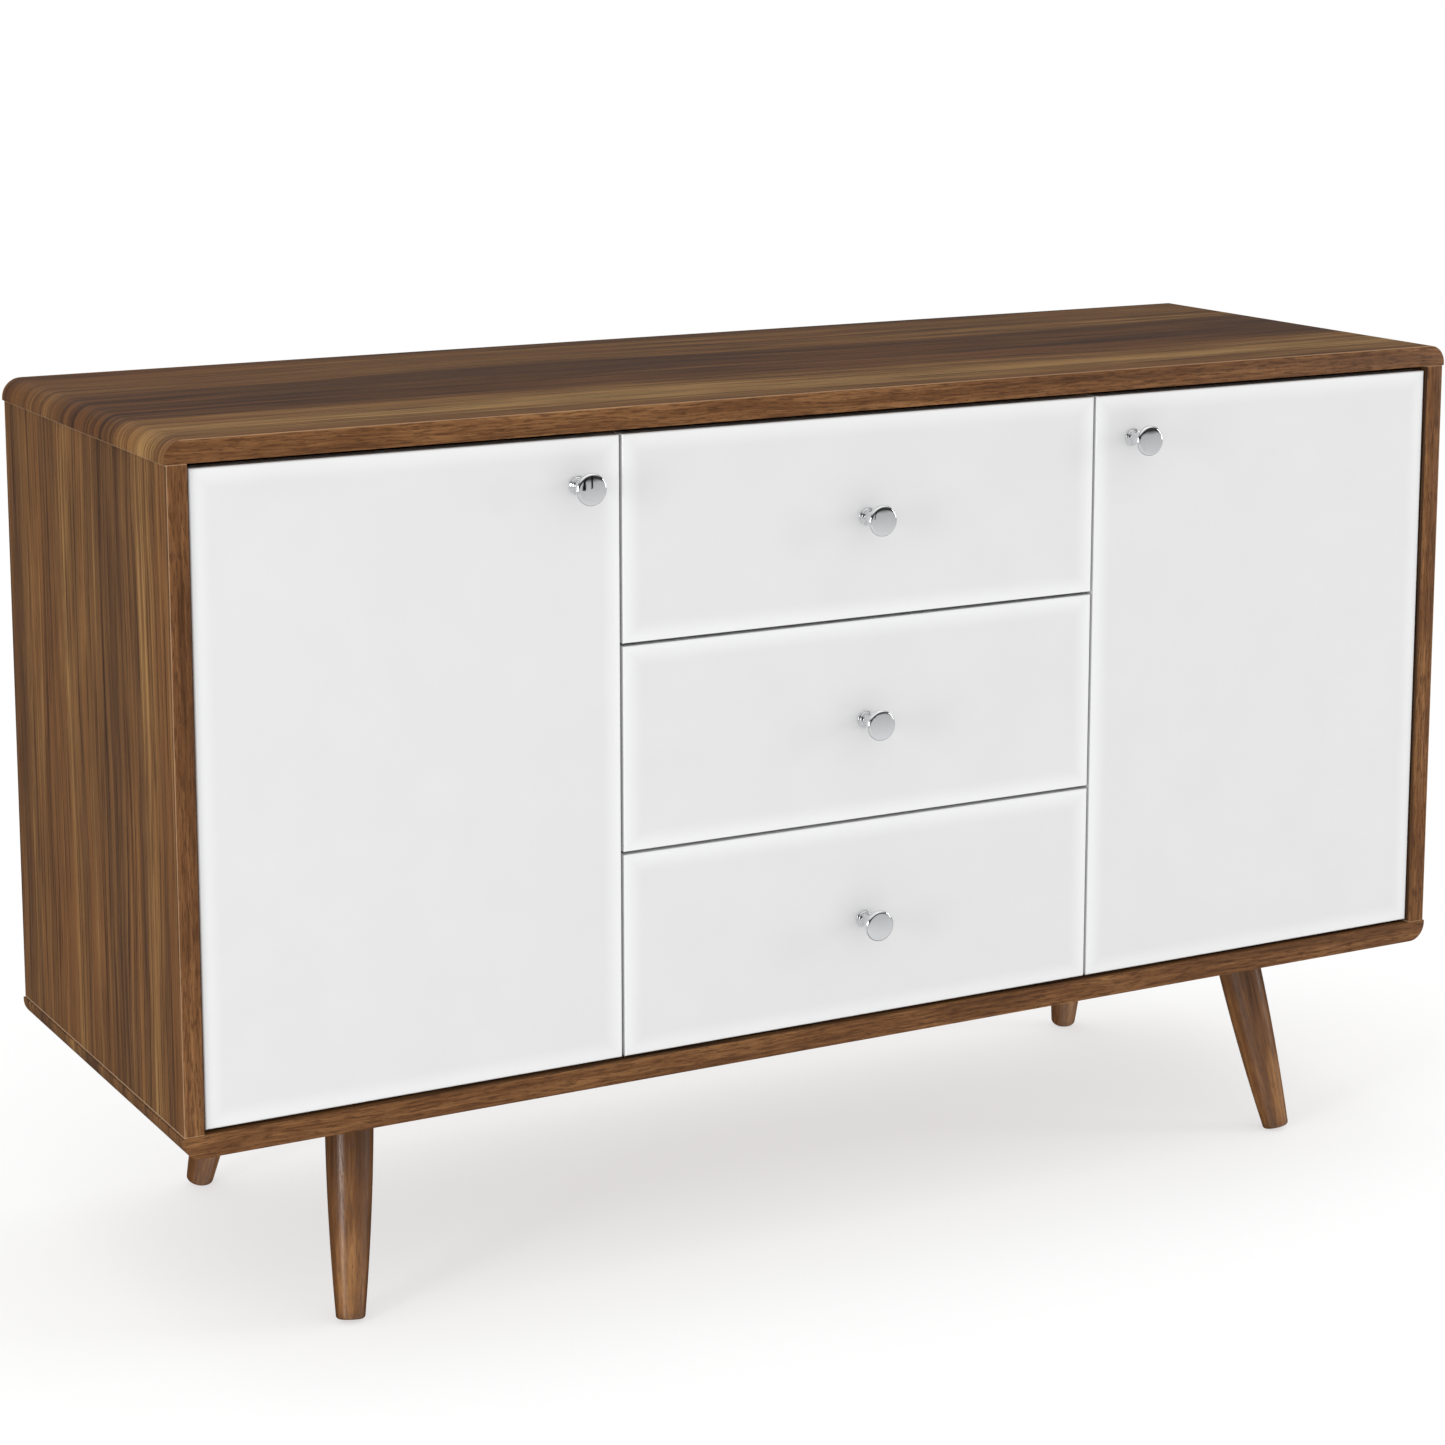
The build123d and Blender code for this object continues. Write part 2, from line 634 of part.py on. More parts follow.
def channel(web_x, lip_x, half_height, y, centre_z, thick):
    """A C channel along y, its web at web_x and its open side towards lip_x, on the right."""
    outer = block(sorted((web_x, lip_x)), y, (centre_z - half_height, centre_z + half_height))
    inward = math.copysign(thick, lip_x - web_x)
    past_lip = lip_x + inward
    inside = (centre_z - half_height + thick, centre_z + half_height - thick)
    return outer - block(sorted((web_x + inward, past_lip)), y, inside)


def slide_centre(low):
    """The height of a drawer's slides."""
    return low + drawer_rise + slide_rise


def slide_rails(low):
    """The fixed rails of one drawer, on the dividers."""
    rail = channel(divider_drawer_face, box_half + rail_lip_gap, rail_height / 2, slide_y,
                   slide_centre(low), steel_thick)
    return [rail] + mirrored([rail])


def slide_members(low):
    """The moving members of one drawer's slides, on its sides."""
    member = channel(box_half, box_half + member_depth, member_height / 2, slide_y,
                     slide_centre(low), steel_thick)
    return [member] + mirrored([member])


def ball_cages(low):
    """The ball cages between rails and members, with their balls."""
    web = divider_drawer_face - steel_thick - cage_web_gap
    track = (member_height + rail_height - 2 * steel_thick) / 4
    start = slide_front + cage_setback
    lip = box_half + ball_from_drawer - ball_hole_radius - cage_lip
    cage_y = (start, start + cage_length)
    cage = channel(web, lip, track + cage_thick / 2, cage_y, slide_centre(low), cage_thick)
    balls = []
    first = start + (cage_length - (ball_count - 1) * ball_pitch) / 2
    for side in (-1, 1):
        for index in range(ball_count):
            height = slide_centre(low) + side * track
            place = Pos(box_half + ball_from_drawer, first + index * ball_pitch, height)
            cage -= place * Cylinder(ball_hole_radius, 2 * cage_thick)
            balls.append(place * Sphere(ball_radius))
    right = [cage] + balls
    return right + mirrored(right)


# ---- Build ----
def build_case():
    """The fixed case, its joints and its shelves."""
    fittings = [panel_joint(*place) for place in panel_joint_places()]
    places = list(panel_joint_places())
    for node, index in (("cam_locks", 0), ("cam_bolts", 1), ("dowels", 2)):
        save(node, *[pieces[index] for pieces, _, _ in fittings])

    def panel_holes(centre_x):
        return [hole for place, (_, holes, _) in zip(places, fittings) if place[0] == centre_x
                for hole in holes]

    def board_holes(end_z):
        return [hole for place, (_, _, holes) in zip(places, fittings) if place[4] == end_z
                for hole in holes]

    leg_places = [LegPlace(side, front) for side in (-1, 1) for front in (-1, 1)]
    leg_names = ("front_left", "back_left", "front_right", "back_right")
    pilots = [rod((x, y, case_under), (0, 0, 1), plate_screw_radius + pilot_clearance, plate_screw_in_board)
              for place in leg_places for x, y in plate_screw_places(place)]
    save("top_board", board(ceiling_z, case_top, -1, board_holes(ceiling_z)))
    save("bottom_board", board(case_under, floor_z, 0, board_holes(floor_z) + pilots))

    side_centre = side_inner + side_thick / 2
    side_holes = shelf_pin_holes(-side_inner) + [hole for z in hinge_heights for hole in hinge_screw_holes(z)]
    save("left_side_panel", side_panel(-1, panel_holes(-side_centre) + side_holes))
    save("right_side_panel", side_panel(1, panel_holes(side_centre) + mirrored(side_holes)))
    divider_holes = shelf_pin_holes(-divider_door_face)
    save("left_divider", divider(-1, panel_holes(-divider_centre) + divider_holes))
    save("right_divider", divider(1, panel_holes(divider_centre) + mirrored(divider_holes)))
    save("back_panels", *back_panels())
    save("left_shelf", shelf())
    save("right_shelf", *mirrored([shelf()]))
    save("shelf_pins", *shelf_pins(), *mirrored(shelf_pins()))

    for name, place in zip(leg_names, leg_places):
        save(f"{name}_leg", leg(place))
    save("leg_plates", *[leg_plate(place) for place in leg_places])
    save("leg_plate_screws", *[piece for place in leg_places for piece in plate_screws(place)])
    save("leg_hanger_bolts", *[hanger_bolt(place) for place in leg_places])


def build_doors():
    """Both doors and their hinges."""
    arms = [hinge_arm(z) for z in hinge_heights]
    arm_screws = [piece for z in hinge_heights for piece in hinge_screws(z)]
    save("hinge_arms", *arms, *mirrored(arms))
    save("hinge_arm_screws", *arm_screws, *mirrored(arm_screws))
    pieces = {
        "door_panel": [door_panel()],
        "door_knob": [knob(door_knob_x, door_knob_z)],
        "door_knob_screw": [knob_screw(door_knob_x, door_knob_z)],
        "hinge_cups": [hinge_cup(z) for z in hinge_heights],
        "hinge_pins": [hinge_pin(z) for z in hinge_heights],
        "hinge_cup_screws": [piece for z in hinge_heights for piece in cup_screws(z)],
    }
    for node, group in pieces.items():
        save(f"left_{node}", *group)
        save(f"right_{node}", *mirrored(group))


def build_drawers():
    """The drawers, from the bottom up, with their slides."""
    rails = []
    for index, name in enumerate(drawer_names):
        low = fronts_low + index * (drawer_front_height + front_gap)
        knob_z = low + drawer_front_height / 2
        rails += slide_rails(low)
        save(f"{name}_drawer_front", drawer_front(low, knob_z))
        save(f"{name}_drawer_sides", *drawer_sides(low))
        save(f"{name}_drawer_back", drawer_back(low))
        save(f"{name}_drawer_bottom", drawer_bottom(low))
        save(f"{name}_drawer_knob", knob(0, knob_z))
        save(f"{name}_drawer_knob_screw", knob_screw(0, knob_z))
        save(f"{name}_slide_members", *slide_members(low))
        save(f"{name}_ball_cages", *ball_cages(low))
    save("slide_rails", *rails)


def main():
    """Write every node."""
    os.makedirs("parts", exist_ok=True)
    build_case()
    build_doors()
    build_drawers()


main()
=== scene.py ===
"""The finish of a walnut and white sideboard.

It adds edge bands and turned knobs, gives every piece its grain, lacquer or metal, and sets up a plain
studio. Sizes are in metres.
"""

import math

import bmesh
import bpy
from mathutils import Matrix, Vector


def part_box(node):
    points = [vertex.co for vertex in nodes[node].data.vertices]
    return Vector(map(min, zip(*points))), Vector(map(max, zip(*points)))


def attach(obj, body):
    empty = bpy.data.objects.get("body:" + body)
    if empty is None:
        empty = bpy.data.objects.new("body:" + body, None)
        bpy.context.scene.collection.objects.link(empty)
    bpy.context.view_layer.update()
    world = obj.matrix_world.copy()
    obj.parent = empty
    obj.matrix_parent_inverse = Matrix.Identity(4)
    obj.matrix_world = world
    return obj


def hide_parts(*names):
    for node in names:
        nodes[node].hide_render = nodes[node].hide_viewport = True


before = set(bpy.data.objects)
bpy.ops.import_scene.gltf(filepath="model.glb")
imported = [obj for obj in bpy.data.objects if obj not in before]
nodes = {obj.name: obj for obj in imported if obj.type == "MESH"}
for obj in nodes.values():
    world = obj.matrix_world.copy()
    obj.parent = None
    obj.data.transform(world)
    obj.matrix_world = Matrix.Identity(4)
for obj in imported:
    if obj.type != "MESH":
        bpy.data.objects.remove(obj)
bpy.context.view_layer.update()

# Edge bands
band_thick = 0.0005
band_lip = 0.00015            # rounding of a band's front corners
corner_round = 0.016          # the boards' rounded outer ends
corner_steps = 20
same_place = 1e-5             # places closer than this count as one

# Knobs, outwards from the front
base_radius = 0.0075
base_thick = 0.0016
base_lip = 0.0005             # rounding of the seat's and the step's edges
lip_steps = 4
step_radius = 0.0062
step_top = 0.0030
neck_radius = 0.0048
neck_flare = 0.0030           # the neck widens into the back of the disc over this height
neck_turns = (0, 20, 40, 60, 75, 85)
disc_thick = 0.0060
disc_rim = 0.0024             # rounding of the disc's rim
disc_dome = 0.0006            # how far the middle of the disc stands above its rim
dome_shares = (0.85, 0.65, 0.45, 0.25, 0.10)
knob_sides = 96

# Legs
leg_run_out = 0.020           # how far a leg's foot stands outside its top, along the case
leg_run_front = 0.044         # and across it
leg_inset_end = 0.163         # leg's axis under the case, from the boards' ends
leg_inset_edge = 0.069        # and from their front and back edges
foot_wear_height = 0.010

# Finishes
stripe_depth = 0.394          # the print's broad stripes are set out over this depth
stripe_middle = 0.47          # the share of the stripes that lies on the case's middle line
seam_width = 0.0011           # pale line to each side of a join between boards
arris_highlight_width = 0.0007          # painted highlight: pale line along a band's edge
raw_depth = 0.0002            # how far the raw back edges reach into the boards
rim_highlight_width = 0.018             # painted highlight: lacquer is painted paler this near a front's edge

# Studio
floor_size = 160
card_aim = (0.0, 0.0, 0.45)


# Small helpers for colours and materials

def tone(red, green, blue):
    """A colour as it looks on a screen, 0 to 255, as the shader's own values."""
    def straight(part):
        part = part / 255
        return part / 12.92 if part <= 0.04045 else ((part + 0.055) / 1.055) ** 2.4
    return (straight(red), straight(green), straight(blue), 1.0)


white = tone(255, 255, 255)


def find_socket(sockets, key):
    """The socket with that identifier, name or number."""
    if isinstance(key, int):
        return sockets[key]
    for socket in sockets:
        if socket.identifier == key:
            return socket
    return sockets[key]


class Value:
    """A socket in a material. Sums on it add Math nodes."""

    def __init__(self, finish, socket):
        self.finish = finish
        self.socket = socket

    def math(self, operation, *others):
        inputs = {0: self}
        for place, other in enumerate(others, 1):
            inputs[place] = other
        return self.finish.add("ShaderNodeMath", {"operation": operation}, inputs)

    def __add__(self, other):
        return self.math("ADD", other)

    def __radd__(self, other):
        return self.math("ADD", other)

    def __sub__(self, other):
        return self.math("SUBTRACT", other)

    def __rsub__(self, other):
        return self.math("MULTIPLY_ADD", -1.0, other)

    def __mul__(self, other):
        return self.math("MULTIPLY", other)

    def size(self):
        return self.math("ABSOLUTE")

    def over(self, limit):
        return self.math("GREATER_THAN", limit)

    def under(self, limit):
        return self.math("LESS_THAN", limit)

    def out(self, key):
        """Another output of the same node."""
        return Value(self.finish, find_socket(self.socket.node.outputs, key))


class Finish:
    """A material, built node by node."""

    def __init__(self, name):
        self.material = bpy.data.materials.new(name)
        self.material.use_nodes = True
        self.tree = self.material.node_tree
        self.tree.nodes.clear()

    @classmethod
    def on_tree(cls, tree):
        """The same methods on a node tree that is there already."""
        finish = cls.__new__(cls)
        finish.tree = tree
        return finish

    def add(self, kind, settings=None, inputs=None):
        """A node of that kind: its settings, then its sockets' values or links. Gives its first output."""
        node = self.tree.nodes.new(kind)
        for name, setting in (settings or {}).items():
            if name == "stops":
                self.set_stops(node.color_ramp, setting)
            else:
                setattr(node, name, setting)
        for key, value in (inputs or {}).items():
            socket = find_socket(node.inputs, key)
            if isinstance(value, Value):
                self.tree.links.new(value.socket, socket)
            else:
                socket.default_value = value
        return Value(self, node.outputs[0]) if node.outputs else node

    @staticmethod
    def set_stops(ramp, stops):
        while len(ramp.elements) < len(stops):
            ramp.elements.new(1.0)
        for element, (place, colour) in zip(ramp.elements, stops):
            element.position = place
            element.color = colour if isinstance(colour, tuple) else (colour, colour, colour, 1.0)

    def point(self):
        """The point on the object."""
        return self.add("ShaderNodeTexCoord").out("Object")

    def parts(self, point):
        """A point's three parts."""
        x = self.add("ShaderNodeSeparateXYZ", None, {"Vector": point})
        return x, x.out("Y"), x.out("Z")

    def noise(self, vector, scale, detail=2.0, roughness=0.5):
        inputs = {"Vector": vector, "Scale": scale, "Detail": detail, "Roughness": roughness}
        return self.add("ShaderNodeTexNoise", None, inputs)

    def vector(self, x, y, z):
        return self.add("ShaderNodeCombineXYZ", None, {"X": x, "Y": y, "Z": z})

    def grain(self, x, y, z, detail=2.0, roughness=0.5):
        """Noise drawn out along the parts that are multiplied least."""
        return self.noise(self.vector(x, y, z), 1.0, detail, roughness)

    def ramp(self, factor, stops):
        return self.add("ShaderNodeValToRGB", {"stops": stops}, {"Fac": factor})

    def step(self, value, low, high):
        """0 below low, 1 above high, smooth between."""
        inputs = {"Value": value, "From Min": low, "From Max": high}
        settings = {"interpolation_type": "SMOOTHSTEP"}
        return self.add("ShaderNodeMapRange", settings, inputs)

    def mix(self, factor, first, second, blend="MIX"):
        settings = {"data_type": "RGBA", "blend_type": blend}
        inputs = {"Factor_Float": factor, "A_Color": first, "B_Color": second}
        return self.add("ShaderNodeMix", settings, inputs).out("Result_Color")

    def bump(self, height, distance, strength):
        inputs = {"Height": height, "Distance": distance, "Strength": strength}
        return self.add("ShaderNodeBump", None, inputs)

    def surface(self, **sockets):
        """The shader itself. Names are the shader's sockets with _ for a space."""
        inputs = {name.replace("_", " "): value for name, value in sockets.items()}
        shader = self.add("ShaderNodeBsdfPrincipled", None, inputs)
        self.add("ShaderNodeOutputMaterial", None, {"Surface": shader})
        return self.material


# Wood

laminate_dark = tone(60, 43, 35)
laminate_low = tone(88, 62, 42)
laminate_mid = tone(116, 83, 51)
laminate_light = tone(162, 128, 80)
laminate_red = tone(120, 77, 43)
chipboard_pale = tone(182, 152, 114)
chipboard_dark = tone(140, 108, 72)
seam_tone = tone(176, 150, 124)
grain_tone = tone(50, 35, 27)


def walnut_laminate(name, along, across, through, stripes, raw_beyond, seams=(), bend=0.075):
    """Walnut-print laminate.

    along, across and through say which axis, X Y or Z, is which for this board. The print's stripes wander
    sideways by up to half of bend. Behind raw_beyond the board's chipboard core shows.
    """
    finish = Finish(name)
    point = finish.point()
    axis = dict(zip("XYZ", finish.parts(point)))
    far, side, depth = axis[along], axis[across], axis[through]
    far = far + depth * 0.35

    drift = finish.grain(far * 1.7, side * 5.0, depth * 3.0, 2.0, 0.45)
    wander = finish.grain(far * 5.0, side * 14.0, depth * 3.0 + 4.0, 2.0, 0.5)
    bent = side + (drift - 0.5) * bend + (wander - 0.5) * 0.006

    broad = finish.grain(far * 0.5, bent * 17.0, depth * 4.0 + 1.3, 3.0, 0.55)
    narrow = finish.grain(far * 1.1, bent * 70.0, depth * 4.0 + 7.1, 3.0, 0.6)
    streak = finish.grain(far * 2.4, bent * 180.0, depth * 4.0, 3.0, 0.7)
    line = finish.grain(far * 6.5, bent * 480.0, depth * 9.0 + 2.0, 2.0, 0.6)
    fleck = finish.grain(far * 45.0, bent * 1300.0, depth * 20.0, 2.0, 0.55)
    mottle = finish.grain(far * 16.0, side * 40.0, depth * 16.0, 3.0, 0.5)

    laid = finish.ramp(bent * (1 / stripe_depth) + stripe_middle, stripes)
    level = laid * 0.80 + broad * 0.20
    level = level + (narrow - 0.5) * 0.70 + (streak - 0.5) * 1.15 + (mottle - 0.5) * 0.25
    colour = finish.ramp(level, [(0.05, laminate_dark), (0.32, laminate_low), (0.60, laminate_mid),
                                 (0.95, laminate_light)])
    warmth = finish.step(drift * 0.5 + narrow * 0.5, 0.44, 0.62)
    colour = finish.mix(warmth * 0.45, colour, laminate_red)
    dashes = finish.step(line, 0.51, 0.63)
    colour = finish.mix(dashes * 0.68, colour, grain_tone)
    pores = finish.step(fleck, 0.60, 0.72)
    colour = finish.mix(pores * 0.35, colour, grain_tone)

    for height in seams:
        join = (axis["Z"] - height).size().under(seam_width)
        colour = finish.mix(join * 0.75, colour, seam_tone)
    raw = axis["Y"].over(raw_beyond)
    chips = finish.noise(point, 420.0, 3.0, 0.7)
    core = finish.mix(finish.step(chips, 0.35, 0.65), chipboard_dark, chipboard_pale)
    colour = finish.mix(raw, colour, core)
    rough = 0.36 + (streak - 0.5) * 0.10 + pores * 0.15
    height = streak * 0.4 - pores - dashes * 0.5
    return finish.surface(Base_Color=colour, Roughness=rough, Normal=finish.bump(height, 0.00012, 0.55),
                          Specular_IOR_Level=0.15)


band_deep = tone(70, 43, 24)
band_mid = tone(110, 73, 43)
band_light = tone(148, 106, 67)
band_arris_highlight = tone(200, 164, 128)


def walnut_band(name, along, across, arris_highlights):
    """The wood look of the front edge bands: redder, with short dark pores along the band.

    arris_highlights says, as pairs of an axis and a height on it, where the painted highlights, pale lines
    along the edges, run.
    """
    finish = Finish(name)
    axis = dict(zip("XYZ", finish.parts(finish.point())))
    far, side = axis[along], axis[across]
    drift = finish.grain(far * 7.0, side * 30.0, 2.0, 3.0, 0.5)
    bent = side + (drift - 0.5) * 0.010
    broad = finish.grain(far * 3.0, bent * 120.0, 5.0, 3.0, 0.55)
    streak = finish.grain(far * 20.0, bent * 480.0, 9.0, 3.0, 0.6)
    dash = finish.grain(far * 60.0, bent * 620.0, 3.0, 2.0, 0.6)
    fleck = finish.grain(far * 130.0, bent * 1500.0, 3.0, 2.0, 0.6)
    level = broad * 0.5 + streak * 0.5 + (drift - 0.5) * 0.4
    colour = finish.ramp(level, [(0.28, band_deep), (0.50, band_mid), (0.72, band_light)])
    dashes = finish.step(dash, 0.50, 0.62)
    colour = finish.mix(dashes * 0.65, colour, band_deep)
    pores = finish.step(fleck, 0.56, 0.68)
    colour = finish.mix(pores * 0.5, colour, band_deep)
    # painted highlight: a pale line along each listed edge of the band
    for axis_name, height in arris_highlights:
        line = (axis[axis_name] - height).size().under(arris_highlight_width)
        colour = finish.mix(line * 0.35, colour, band_arris_highlight)
    rough = 0.44 + pores * 0.2
    height = streak * 0.5 - pores - dashes * 0.5
    return finish.surface(Base_Color=colour, Roughness=rough, Normal=finish.bump(height, 0.00015, 0.6),
                          Specular_IOR_Level=0.1)


leg_deep = tone(60, 34, 14)
leg_mid = tone(108, 68, 32)
leg_light = tone(164, 115, 64)


def stained_leg(name, foot, top):
    """Stained solid wood, its grain turned to run along one splayed leg."""
    finish = Finish(name)
    turn = (top - foot).to_track_quat("Z", "Y").to_euler()
    settings = {"vector_type": "TEXTURE"}
    inputs = {"Vector": finish.point(), "Location": tuple(foot), "Rotation": tuple(turn)}
    turned = finish.add("ShaderNodeMapping", settings, inputs)
    x, y, z = finish.parts(turned)
    drift = finish.grain(x * 9.0, y * 9.0, z * 5.0, 3.0, 0.5)
    rings = finish.grain(x * 55.0, y * 55.0, z * 3.5 + drift * 0.8, 4.0, 0.6)
    streak = finish.grain(x * 420.0, y * 420.0, z * 14.0, 3.0, 0.6)
    fleck = finish.grain(x * 1150.0, y * 1150.0, z * 85.0, 2.0, 0.6)
    blotch = finish.grain(x * 26.0, y * 26.0, z * 16.0 + 3.0, 3.0, 0.5)
    level = rings * 0.40 + streak * 0.32 + blotch * 0.28
    colour = finish.ramp(level, [(0.30, leg_deep), (0.49, leg_mid), (0.68, leg_light)])
    pores = finish.step(fleck, 0.55, 0.68)
    colour = finish.mix(pores * 0.45, colour, leg_deep)
    foot_wear = finish.step(z, foot_wear_height, 0.0) * finish.step(blotch, 0.35, 0.6)
    colour = finish.mix(foot_wear * 0.4, colour, leg_deep)
    rough = 0.32 + pores * 0.2 + (blotch - 0.5) * 0.1
    height = streak * 0.4 - pores
    return finish.surface(Base_Color=colour, Roughness=rough, Normal=finish.bump(height, 0.0002, 0.6),
                          Specular_IOR_Level=0.4, Coat_Weight=0.4, Coat_Roughness=0.32)


def dowel_beech():
    """Pale beech with short darker flecks along X."""
    finish = Finish("dowel_beech")
    x, y, z = finish.parts(finish.point())
    grain = finish.grain(x * 60.0, y * 700.0, z * 700.0, 3.0, 0.6)
    fleck = finish.step(finish.grain(x * 300.0, y * 1500.0, z * 1500.0), 0.55, 0.7)
    colour = finish.ramp(grain, [(0.3, tone(178, 136, 92)), (0.7, tone(214, 180, 138))])
    colour = finish.mix(fleck * 0.6, colour, tone(134, 90, 54))
    return finish.surface(Base_Color=colour, Roughness=0.55 + fleck * 0.2,
                          Normal=finish.bump(grain, 0.0001, 0.4))


def back_hardboard():
    """Thin printed hardboard: walnut print, duller and flatter than the boards."""
    finish = Finish("back_hardboard")
    point = finish.point()
    x, y, z = finish.parts(point)
    drift = finish.grain(x * 5.0, y, z * 2.0)
    bent = x + (drift - 0.5) * 0.06
    broad = finish.grain(bent * 22.0, y, z * 0.7, 3.0, 0.55)
    streak = finish.grain(bent * 420.0, y, z * 7.0, 3.0, 0.6)
    level = broad * 0.7 + streak * 0.3
    colour = finish.ramp(level, [(0.3, laminate_dark), (0.5, laminate_low), (0.7, laminate_mid)])
    fibre = finish.noise(point, 900.0, 3.0, 0.7)
    colour = finish.mix(fibre * 0.12, colour, laminate_red)
    return finish.surface(Base_Color=colour, Roughness=0.62 + (fibre - 0.5) * 0.15,
                          Normal=finish.bump(fibre, 0.0001, 0.5), Specular_IOR_Level=0.25)


# Painted and plain boards

def white_lacquer(name, low, high):
    """Gloss lacquer on the front between low and high: a faint orange peel, and a painted highlight that
    makes it paler near its edges.
    """
    finish = Finish(name)
    point = finish.point()
    x, _, z = finish.parts(point)
    middle = (low + high) / 2
    half = (high - low) / 2
    from_side = half.x - (x - middle.x).size()
    from_ends = half.z - (z - middle.z).size()
    inside = from_side.math("MINIMUM", from_ends)
    # edge is a painted highlight: how far the colour is made paler towards the front's edges
    edge = 1.0 - finish.step(inside, 0.0, rim_highlight_width)
    peel = finish.noise(point, 260.0, 2.0, 0.5)
    wave = finish.noise(point, 24.0, 2.0, 0.4)
    colour = finish.mix(wave, tone(213, 213, 213), tone(217, 217, 217))
    # painted highlight: the colour turns paler near the edges
    colour = finish.mix(edge * 0.55, colour, tone(236, 237, 237))
    rough = 0.13 + (wave - 0.5) * 0.04 + edge * 0.03
    relief = finish.bump(peel + wave * 2.0, 0.00003, 0.35)
    return finish.surface(Base_Color=colour, Roughness=rough, Normal=relief, Specular_IOR_Level=0.45,
                          Coat_Weight=0.5, Coat_Roughness=0.06)


def drawer_melamine():
    """Pale grey melamine on the drawer boxes, with a fine pressed grain along X and Y."""
    finish = Finish("drawer_melamine")
    point = finish.point()
    x, y, z = finish.parts(point)
    grain = finish.grain(x * 30.0, y * 30.0, z * 600.0, 3.0, 0.6)
    speck = finish.noise(point, 1400.0, 2.0, 0.6)
    colour = finish.ramp(grain * 0.7 + speck * 0.3, [(0.3, tone(206, 205, 201)), (0.7, tone(226, 225, 222))])
    return finish.surface(Base_Color=colour, Roughness=0.48 + (grain - 0.5) * 0.12,
                          Normal=finish.bump(grain, 0.00008, 0.4), Specular_IOR_Level=0.4)


# Metals

def metal(name, dull, bright, rough, patch, bare=1.0, along_y=1.0, relief=0.00003):
    """Plain metal with patches of finish and fine grains, which are lines along Y where along_y is small.

    bare is 1 for metal with no dull film on it.
    """
    finish = Finish(name)
    point = finish.point()
    x, y, z = finish.parts(point)
    cloud = finish.noise(point, patch, 3.0, 0.6)
    fine = finish.noise(finish.vector(x, y * along_y, z), 900.0, 2.0, 0.6)
    colour = finish.ramp(cloud * 0.7 + fine * 0.3, [(0.3, dull), (0.7, bright)])
    spread = rough + (fine - 0.5) * (rough * 0.5) + (cloud - 0.5) * (rough * 0.4)
    return finish.surface(Base_Color=colour, Roughness=spread, Metallic=bare,
                          Normal=finish.bump(fine, relief, 0.4))


def black_powder_coat():
    """Matt black paint with a fine orange peel."""
    finish = Finish("black_powder_coat")
    point = finish.point()
    grain = finish.noise(point, 1300.0, 2.0, 0.6)
    cloud = finish.noise(point, 40.0, 2.0, 0.5)
    colour = finish.ramp(grain * 0.6 + cloud * 0.4, [(0.3, tone(34, 34, 35)), (0.7, tone(58, 58, 59))])
    return finish.surface(Base_Color=colour, Roughness=0.55 + (grain - 0.5) * 0.2,
                          Normal=finish.bump(grain, 0.0001, 0.6))


# Modelling helpers

def clear_selection():
    bpy.ops.object.select_all(action="DESELECT")


def select_only(piece):
    clear_selection()
    piece.select_set(True)
    bpy.context.view_layer.objects.active = piece


def same(first, second):
    return abs(first - second) < same_place


def pick_edges(test):
    """In edit mode, selects the edges whose two ends pass the test, and nothing else."""
    bpy.ops.mesh.select_mode(type="EDGE")
    bpy.ops.mesh.select_all(action="DESELECT")
    mesh = bpy.context.object.data
    shape = bmesh.from_edit_mesh(mesh)
    for edge in shape.edges:
        start, end = edge.verts
        if test(start.co, end.co):
            edge.select_set(True)
    bmesh.update_edit_mesh(mesh)


def close_edit():
    """Turns every face outwards and goes back to object mode."""
    bpy.ops.mesh.select_all(action="SELECT")
    bpy.ops.mesh.normals_make_consistent(inside=False)
    bpy.ops.object.mode_set(mode="OBJECT")


def settle(piece, name, body, material, smooth_to=30):
    """Puts a finished piece's place in its mesh, gives it its material and lets it ride."""
    bpy.ops.object.transform_apply(location=True, rotation=True, scale=True)
    bpy.ops.object.shade_smooth_by_angle(angle=math.radians(smooth_to))
    piece.name = name
    piece.data.name = name
    piece.data.materials.clear()
    piece.data.materials.append(material)
    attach(piece, body)
    return piece


def front_band(name, board, material, round_at=None):
    """The band glued on a board's front edge. round_at is 1 with rounded upper ends, -1 with lower ones."""
    low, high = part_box(board)
    size = (high.x - low.x, band_thick, high.z - low.z)
    middle = ((low.x + high.x) / 2, low.y - band_thick / 2, (low.z + high.z) / 2)
    clear_selection()
    bpy.ops.mesh.primitive_cube_add(size=1, location=middle, scale=size)
    piece = bpy.context.object
    bpy.ops.object.transform_apply(location=True, rotation=True, scale=True)
    bpy.ops.object.mode_set(mode="EDIT")
    if round_at:
        height = high.z if round_at > 0 else low.z
        pick_edges(lambda start, end: same(start.z, height) and same(end.z, height) and same(start.x, end.x))
        bpy.ops.mesh.bevel(offset=corner_round, segments=corner_steps, affect="EDGES")
    foremost = low.y - band_thick
    pick_edges(lambda start, end: same(start.y, foremost) and same(end.y, foremost))
    bpy.ops.mesh.bevel(offset=band_lip, segments=2, affect="EDGES")
    close_edit()
    return settle(piece, name, "carcase", material)


def arc(middle_out, middle_radius, radius, start, end, steps):
    """Rings on a rounding: pairs of distance out and radius. start and end are in degrees, 0 straight out."""
    rings = []
    for step in range(steps + 1):
        angle = math.radians(start + (end - start) * step / steps)
        rings.append((middle_out + radius * math.cos(angle), middle_radius + radius * math.sin(angle)))
    return rings


